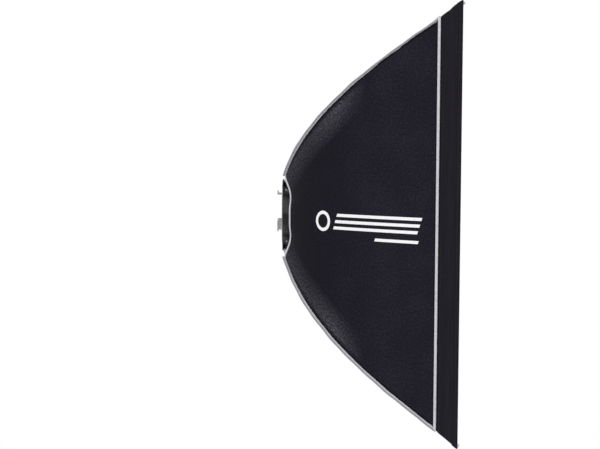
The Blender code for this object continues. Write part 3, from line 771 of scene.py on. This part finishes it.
def make_loop_tape(side, name, sign, half_name):
    """Strip of loop tape sewn inside the lip, in front of the diffuser."""
    x, t = np.meshgrid(np.linspace(0.3620, 0.3800, 6), spread(70, 0.1) * 0.955, indexing="ij")
    base = lip_grid(t, x)
    base[..., 1] *= sign
    normal, _ = grid_normals(base, Z_AXIS)
    bulge = 0.0006 * np.sin(math.pi * (x - 0.3620) / 0.018)
    lifted = on_side(base - normal * (LIP_THICK + 0.0004 + bulge)[..., None], side)
    piece = sheet_solid(f"loop_tape_{name}_{half_name}", lifted, on_side(-Z_AXIS, side), 0.0009,
                        base[..., :2], [LOOP_TAPE] * 3)
    hang(piece)


def make_front_piping():
    """Binding over the seam between panel and lip."""
    t = spread(80, 0.1)
    profile = oval(0.0068, 0.0056, 0.35, 14)
    tilt = math.radians(45) * 0.86
    half = half_side(DIFFUSER_LINE - 0.0012)
    out = np.tile([-math.sin(tilt), 0.0, math.cos(tilt)], (len(t), 1))
    along = np.tile([math.cos(tilt), 0.0, math.sin(tilt)], (len(t), 1))
    for side, name, sign, half_name, arm in halves():
        wave = 0.0003 * np.sin(t * half * math.tau / 0.031 + side)
        centre = np.stack([0 * t + DIFFUSER_LINE - 0.0012, sign * t * (half + 0.0016),
                           half + 0.0014 + wave], axis=1)
        piece = tube(f"front_piping_{name}_{half_name}", on_side(centre, side), on_side(out, side),
                     on_side(along, side), profile, [BINDING])
        hang(piece)


def make_rear_piping():
    """Binding folded over the cloth's edge round the rear opening."""
    t = spread(60, 0.2)
    edge = np.meshgrid([0.0, 0.004], t, indexing="ij")
    profile = oval(0.0072, 0.0052, 0.0, 12)
    for side, name, sign, half_name, arm in halves():
        points, _, _ = panel_points(side, sign, *edge)
        inward = points[1] - points[0]
        inward /= np.linalg.norm(inward, axis=1, keepdims=True)
        out = np.cross(np.gradient(points[0], axis=0), inward)
        out /= np.linalg.norm(out, axis=1, keepdims=True)
        out *= np.sign((out * on_side(Z_AXIS, side)).sum(axis=1, keepdims=True))
        centre = points[0] + inward * 0.0010 - out * CLOTH_THICK / 2
        piece = tube(f"rear_piping_{name}_{half_name}", centre, out, inward, profile, [BINDING])
        hang(piece)


def make_corner_piping():
    """Folded binding standing along each rib seam: a cord with a stitched flange."""
    s = np.linspace(SEAM_START - 0.001, PIPING_END, 150)
    right = [(0.0012, -0.0060), (0.0022, -0.0040), (0.0026, -0.0018), (0.0017, -0.0004), (0.0025, 0.0010),
             (0.0024, 0.0022), (0.0012, 0.0030)]
    profile = [(-0.0012, -0.0060)] + right + [(-across, height) for across, height in right[:0:-1]]
    for corner in CORNERS:
        wander = 0.0004 * np.sin(s * 95 + corner) + 0.0003 * np.sin(s * 41 + 2 * corner)
        sunk = RIB_PIPING_SINK[corner] * ease((s - s[0]) / (s[-1] - s[0]))
        x, r = seam_at(s, 0.0022 + wander - sunk)
        slope = rod_slope(s)
        centre = np.stack([x, 0.0004 * np.sin(s * 63 + corner), r], axis=1)
        out = np.stack([-np.sin(slope), 0 * s, np.cos(slope)], axis=1)
        side = np.tile(Y_AXIS, (len(s), 1))
        angle = corner_angle(corner)
        heights = np.array(profile)[:, 1] + 0.0060
        piece = tube(f"rib_piping_{corner}", turn_x(centre, angle), turn_x(out, angle),
                     turn_x(side, angle), profile, [BINDING], heights)
        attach(piece, f"arm_{corner}")
        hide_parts(f"corner_piping_{corner}")


# ---------------------------------------------------------------- diffusers

def diffuser_grid(half, cut, steps):
    """Quarter of a square with cut corners: y and z from 0 to half."""
    a, b = np.meshgrid(spread(steps, 0.35), spread(steps, 0.35), indexing="ij")
    ring = np.maximum(np.maximum(a, b), 1e-9)
    allowed = np.minimum(1.0, (2 * half - cut) / (half * (a + b) / ring))
    shrink = 1 - (1 - allowed) * ring ** 7
    return a * half * shrink, b * half * shrink, a, b


def make_diffuser(prefix, node, half, cut, x, white, border, bow, scallop, thick):
    """Four quarters of a diffuser with a taped border."""
    steps = 64
    y, z, a, b = diffuser_grid(half, cut, steps)
    if scallop:
        y = y - scallop * a ** 6 * (1 - b * b)
        z = z - scallop * b ** 6 * (1 - a * a)
    corner = (half * 2 - y - z) / math.sqrt(2)
    pull = 0.0022 * np.sin(np.arctan2(half - y + 0.02, half - z + 0.02) * 14) * np.exp(-corner / 0.10)
    edge = np.minimum(half - y, half - z)
    billow = bow * (1 - a ** 2) * (1 - b ** 2)
    calm = ease(a / 0.12) * ease(b / 0.12)
    soft = 0.0012 * ripple(y, z, 71) * calm * ease(edge / 0.04)
    depth = x + billow + soft + pull * ease(edge / 0.03)
    border_cells = (np.maximum(a, b)[:-1, :-1] > border).astype(int) * 2
    lift = 0.0007 * (np.maximum(a, b) > border)
    quarter = np.stack([depth + lift, y, z], axis=-1)
    for corner_number in CORNERS:
        angle = corner_angle(corner_number) + math.radians(45)
        points = turn_x(quarter, angle)
        flat = np.stack([y, z], axis=-1)
        piece = sheet_solid(f"{prefix}_{corner_number}", points, X_AXIS, thick, flat,
                            [white, white, WEBBING], border_cells)
        hang(piece)
        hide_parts(node)


def make_straps():
    """Elastic straps from the inner diffuser's corners, each with a loop round its rod."""
    low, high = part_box("inner_strap_1")
    x = high[0] - 0.0008
    begin = (low[1] + low[2]) / math.sqrt(2) + 0.002
    _, rod_r, slope = rod_at(np.interp(x, ROD_X, LENGTHS))
    r = np.linspace(begin - 0.012, rod_r - 0.0062, 26)
    centre = np.stack([x + 0.0005 * np.sin(r * 260), 0 * r, r], axis=1)
    out = np.tile(X_AXIS, (len(r), 1))
    side = np.tile(Y_AXIS, (len(r), 1))
    profile = oval(0.0200, 0.0018, 0.0, 16)
    profile[:, 0] = np.sign(profile[:, 0]) * np.abs(profile[:, 0] / 0.01) ** 0.35 * 0.0098
    across = np.array([-math.sin(slope), 0.0, math.cos(slope)])
    along = np.array([math.cos(slope), 0.0, math.sin(slope)])
    turn = np.linspace(0, math.tau, 33)[:-1, None]
    ring = np.array([x, 0, rod_r]) + 0.0049 * (across * np.cos(turn) + Y_AXIS * np.sin(turn))
    for corner in CORNERS:
        angle = corner_angle(corner)
        strap = tube(f"elastic_{corner}", turn_x(centre, angle), turn_x(out, angle), turn_x(side, angle),
                     profile, [WEBBING])
        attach(strap, f"arm_{corner}")
        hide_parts(f"inner_strap_{corner}")
        band(f"elastic_loop_{corner}", ring, along, 0.0080, 0.0009, angle, corner)


def band(name, loop, along, width, thick, angle, corner):
    """Closed flat band through a loop of points, width measured along a direction."""
    centre = loop.mean(axis=0)
    radial = loop - centre
    radial /= np.linalg.norm(radial, axis=1, keepdims=True)
    corners = ((-width / 2, 0), (width / 2, 0), (width / 2, thick), (-width / 2, thick))
    points = np.stack([loop + along * a + radial * b for a, b in corners], axis=1)
    count = len(loop)
    faces = []
    for i in range(count):
        j = (i + 1) % count
        for k in range(4):
            m = (k + 1) % 4
            faces.append([i * 4 + k, i * 4 + m, j * 4 + m, j * 4 + k])
    run = np.arange(count) * 0.001
    uv = np.stack(np.broadcast_arrays(run[:, None], np.arange(4)[None, :] * 0.002), axis=-1).reshape(-1, 2)
    sharp = [(i * 4 + k, ((i + 1) % count) * 4 + k) for i in range(count) for k in range(4)]
    piece = new_object(name, turn_x(points.reshape(-1, 3), angle), faces, [0] * len(faces), [WEBBING], uv,
                       sharp)
    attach(piece, f"arm_{corner}")


def pocket_ring(s, wide, deep, lumps, angles):
    """Ring of points round the rod at length s, wide across the seam and deep along it."""
    x, r, slope = rod_at(s)
    out = np.array([-math.sin(slope), 0.0, math.cos(slope)])
    rise = (np.sin(angles) * deep * (1 + lumps * np.sin(5 * angles)))[:, None]
    reach = (np.cos(angles) * wide)[:, None]
    return np.array([float(x), 0.0, float(r)]) + out * rise + Y_AXIS * reach


def make_pockets():
    """Webbing pocket round each rod end: an open hem, a body that follows the cap, and a flat sewn tip."""
    angles = np.arange(28) * math.tau / 28
    count = len(angles)
    bore = [pocket_ring(s, POCKET_BORE, POCKET_BORE, 0.0, angles) for s in (0.6800, 0.6725)]
    body = [pocket_ring(s, POCKET_RADIUS * wide, POCKET_RADIUS * deep, 0.03, angles)
            for s, wide, deep in POCKET_STATIONS]
    every = np.array(bore + body)
    faces = []
    for i in range(len(every) - 1):
        for j in range(count):
            k = (j + 1) % count
            faces.append([i * count + j, (i + 1) * count + j, (i + 1) * count + k, i * count + k])
    faces.append(list(range(count)))
    faces.append([(len(every) - 1) * count + j for j in reversed(range(count))])
    run = np.arange(len(every)) * 0.0035
    uv = np.stack(np.broadcast_arrays(run[:, None], (angles * 0.007)[None, :]), axis=-1).reshape(-1, 2)
    for corner in CORNERS:
        points = turn_x(every.reshape(-1, 3), corner_angle(corner))
        piece = new_object(f"rod_pocket_{corner}", points, faces, [0] * len(faces), [WEBBING], uv, [])
        fix_normals(piece)
        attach(piece, f"arm_{corner}")
        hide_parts(f"corner_pocket_{corner}")


def make_corner_tabs():
    """Small folded loop of grey tape at each front corner, and the fin that sews the pocket to the seam."""
    for corner in CORNERS:
        angle = corner_angle(corner)
        loop = []
        for turn in np.linspace(-1.0, 1.0, 15):
            reach = 0.0050 * (1 - abs(turn) ** 2.4)
            gap = 0.0009 * math.copysign(abs(turn) ** 0.5, turn)
            loop.append([LIP_END - 0.0030 + reach * 1.25, gap, reach])
        base = SEAM_R[-1] + LIP_FLARE * math.sqrt(2) - 0.0105
        centre = np.array(loop) + np.array([0.0, 0.0, base])
        wide = np.array([-0.60, 0.0, 0.80])
        tape_strip(f"corner_tab_{corner}", centre, wide, 0.0105, 0.0009, BINDING, angle, corner)
        s = np.linspace(0.6760, 0.7050, 9)
        x, r, slope = rod_at(s)
        inner = np.stack([x - np.sin(slope) * 0.0062, 0 * s, r + np.cos(slope) * 0.0062], axis=1)
        fin_x, fin_r = seam_at(s, -0.0022)
        outer = np.stack([fin_x, 0 * s, fin_r], axis=1)
        grid = np.stack([inner + (outer - inner) * share for share in np.linspace(0, 1, 5)], axis=1)
        flat = np.stack(np.broadcast_arrays(s[:, None], np.linspace(0, 0.01, 5)[None, :]), axis=-1)
        grid[..., 1] += 0.0008
        fin = sheet_solid(f"pocket_fin_{corner}", turn_x(grid, angle), turn_x(Y_AXIS, angle), 0.0016, flat,
                          [WEBBING] * 3)
        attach(fin, f"arm_{corner}")


def tape_strip(name, centre, wide, width, thick, mat, angle, corner):
    """Flat tape of a given width along a bent centre line."""
    offsets = np.linspace(-width / 2, width / 2, 7)
    grid = centre[:, None, :] + wide[None, None, :] * offsets[None, :, None]
    flat = np.stack(np.broadcast_arrays(np.arange(len(centre))[:, None] * 0.001, offsets[None, :]), axis=-1)
    outward = turn_x(X_AXIS + 0.3 * Z_AXIS, angle)
    piece = sheet_solid(name, turn_x(grid, angle), outward, thick, flat, [mat] * 3)
    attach(piece, f"arm_{corner}")


def fix_normals(piece):
    """Point the faces of a closed mesh outward."""
    body = bmesh.new()
    body.from_mesh(piece.data)
    bmesh.ops.recalc_face_normals(body, faces=body.faces)
    body.to_mesh(piece.data)
    body.free()


# ---------------------------------------------------------------- carried-over CAD nodes

def paint_nodes():
    """Materials of the CAD nodes that stay visible."""
    looks = {"bayonet_insert": ALUMINIUM, "slip_washer": NYLON, "front_retainer": COAT, "speedring": COAT,
             "lock_knob": PLASTIC}
    for corner in CORNERS:
        looks.update({f"retainer_screw_{corner}": STEEL, f"hinge_pin_{corner}": STEEL,
                      f"catch_pin_{corner}": STEEL, f"rod_{corner}": ROD_STEEL, f"rod_arm_{corner}": COAT,
                      f"catch_{corner}": PLASTIC, f"rod_cap_{corner}": PLASTIC})
    for name, mat in looks.items():
        node = frame["nodes"][name]
        for place in node.material_slots:
            place.material = mat
        if not node.material_slots:
            node.data.materials.append(mat)


# ---------------------------------------------------------------- stage, lights and camera

def make_stage():
    """Plain pale floor, a disc well below the box."""
    mesh = bpy.data.meshes.new("floor")
    angles = np.arange(96) * math.tau / 96
    ring = [(math.cos(a) * FLOOR_RADIUS + FLOOR_X, math.sin(a) * FLOOR_RADIUS, FLOOR_LEVEL) for a in angles]
    mesh.from_pydata(ring, [], [list(range(96))])
    floor = bpy.data.objects.new("floor", mesh)
    bpy.context.scene.collection.objects.link(floor)
    s = Shader("pale_floor")
    mottle = s.noise(s.coords("Object"), 3.0, 3.0)
    s.link(s.ramp(mottle, [(0.3, 0.86), (0.7, 0.88)]), s.main.inputs["Base Color"])
    s.put(Roughness=0.8, Specular_IOR_Level=0.2)
    mesh.materials.append(s.mat)


def add_light(name, place, target, size, power):
    """Rectangular area light aimed at a point."""
    data = bpy.data.lights.new(name, "AREA")
    data.shape = "RECTANGLE"
    data.size, data.size_y = size
    data.energy = power
    lamp = bpy.data.objects.new(name, data)
    lamp.location = place
    lamp.rotation_euler = (Vector(target) - Vector(place)).to_track_quat("-Z", "Y").to_euler()
    bpy.context.scene.collection.objects.link(lamp)


def make_lights():
    """White surroundings and three soft lights."""
    world = bpy.data.worlds.new("studio")
    world.use_nodes = True
    back = world.node_tree.nodes["Background"]
    back.inputs["Color"].default_value = (1, 1, 1, 1)
    back.inputs["Strength"].default_value = 1.0
    bpy.context.scene.world = world
    add_light("key", (1.2, -4.0, 2.8), (0.2, 0, 0), (2.2, 1.6), 60)
    add_light("rear", (-2.4, 2.6, 2.2), (0.15, 0, 0), (1.8, 1.4), 25)
    add_light("front", (3.6, -0.8, 1.2), (0.2, 0, 0), (2.0, 1.6), 12)
    bpy.context.scene.view_settings.view_transform = "Standard"


def make_camera():
    """Camera beside the box, a little above its middle."""
    data = bpy.data.cameras.new("camera")
    data.sensor_width = SENSOR_WIDTH
    data.lens = CAMERA_LENS
    camera = bpy.data.objects.new("camera", data)
    turns = [Matrix.Rotation(math.radians(angle), 4, axis)
             for angle, axis in ((CAMERA_YAW, "Z"), (CAMERA_PITCH, "X"), (CAMERA_ROLL, "Z"))]
    camera.matrix_world = Matrix.Translation(CAMERA_PLACE) @ turns[0] @ turns[1] @ turns[2]
    bpy.context.scene.collection.objects.link(camera)
    bpy.context.scene.camera = camera


make_camera()
make_panels()
make_lips()
make_front_piping()
make_rear_piping()
make_corner_piping()
front_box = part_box("front_diffuser")
inner_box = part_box("inner_diffuser")
make_diffuser("front_diffuser_q", "front_diffuser", front_box[1][1] + 0.0015, 0.036, front_box[1][0],
              FRONT_WHITE, 0.955, 0.006, 0.0, 0.0012)
make_diffuser("inner_diffuser_q", "inner_diffuser", inner_box[1][1], 0.030, inner_box[1][0],
              INNER_WHITE, 0.965, 0.003, 0.016, 0.0010)
make_straps()
make_pockets()
make_corner_tabs()
paint_nodes()
make_stage()
make_lights()
